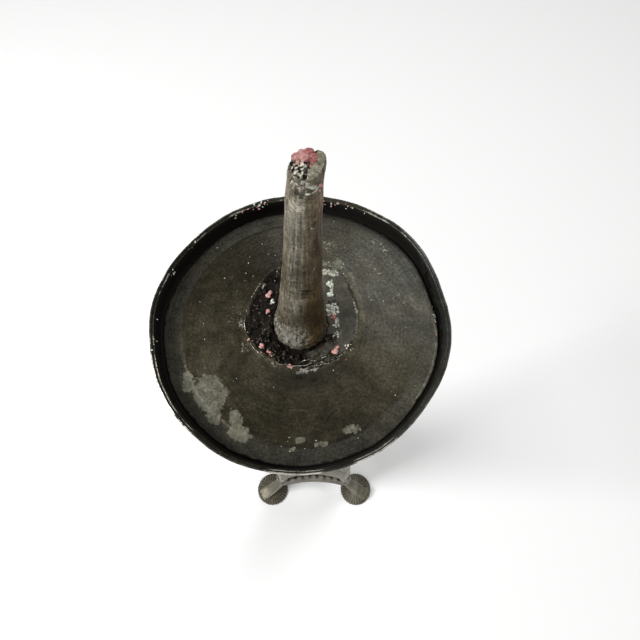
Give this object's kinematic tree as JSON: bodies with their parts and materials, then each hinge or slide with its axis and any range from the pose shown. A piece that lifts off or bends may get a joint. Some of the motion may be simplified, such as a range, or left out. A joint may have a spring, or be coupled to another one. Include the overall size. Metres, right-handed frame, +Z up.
{
  "type": "pillar candle holder",
  "caption": "Tall pricket candlestick: round drip pan with an upright taper spike on a turned stem, pyramid plinth and shell-footed tripod base.",
  "frame": {"origin": "on the stem's axis, in the plane that the three feet stand on", "axes": "+Z up along the stem towards the pricket, -Y the front side with two feet"},
  "size_m": [0.1868, 0.174, 0.769],
  "materials": {
    "pewter": "satin, aged grey-brown pewter with polished high spots",
    "pan_pewter": "satin, dark olive-grey tarnished pewter",
    "pricket_pewter": "rough, hammered and scratched pewter",
    "iron": "dull, dark wrought iron"
  },
  "bodies": {
    "root": {"apron_front": "pewter", "apron_left": "pewter", "apron_right": "pewter", "baluster_lower": "pewter", "baluster_upper": "pewter", "calyx": "pewter", "drip_pan": "pan_pewter", "knop": "pewter", "leg_back": "pewter", "leg_left": "pewter", "leg_right": "pewter", "neck": "pewter", "neck_ring": "pewter", "pan_cup": "pewter", "plinth_cap": "pewter", "plinth_front": "pewter", "plinth_left": "pewter", "plinth_right": "pewter", "pricket": "pricket_pewter", "pricket_flange": "pricket_pewter", "saucer_lower": "pewter", "saucer_upper": "pewter", "shell_foot_back": "pewter", "shell_foot_left": "pewter", "shell_foot_right": "pewter", "tie_nut": "iron", "tie_rod": "iron", "tie_washer": "iron", "upper_collar": "pewter", "vase_lower": "pewter", "vase_upper": "pewter"}
  },
  "joints": []
}
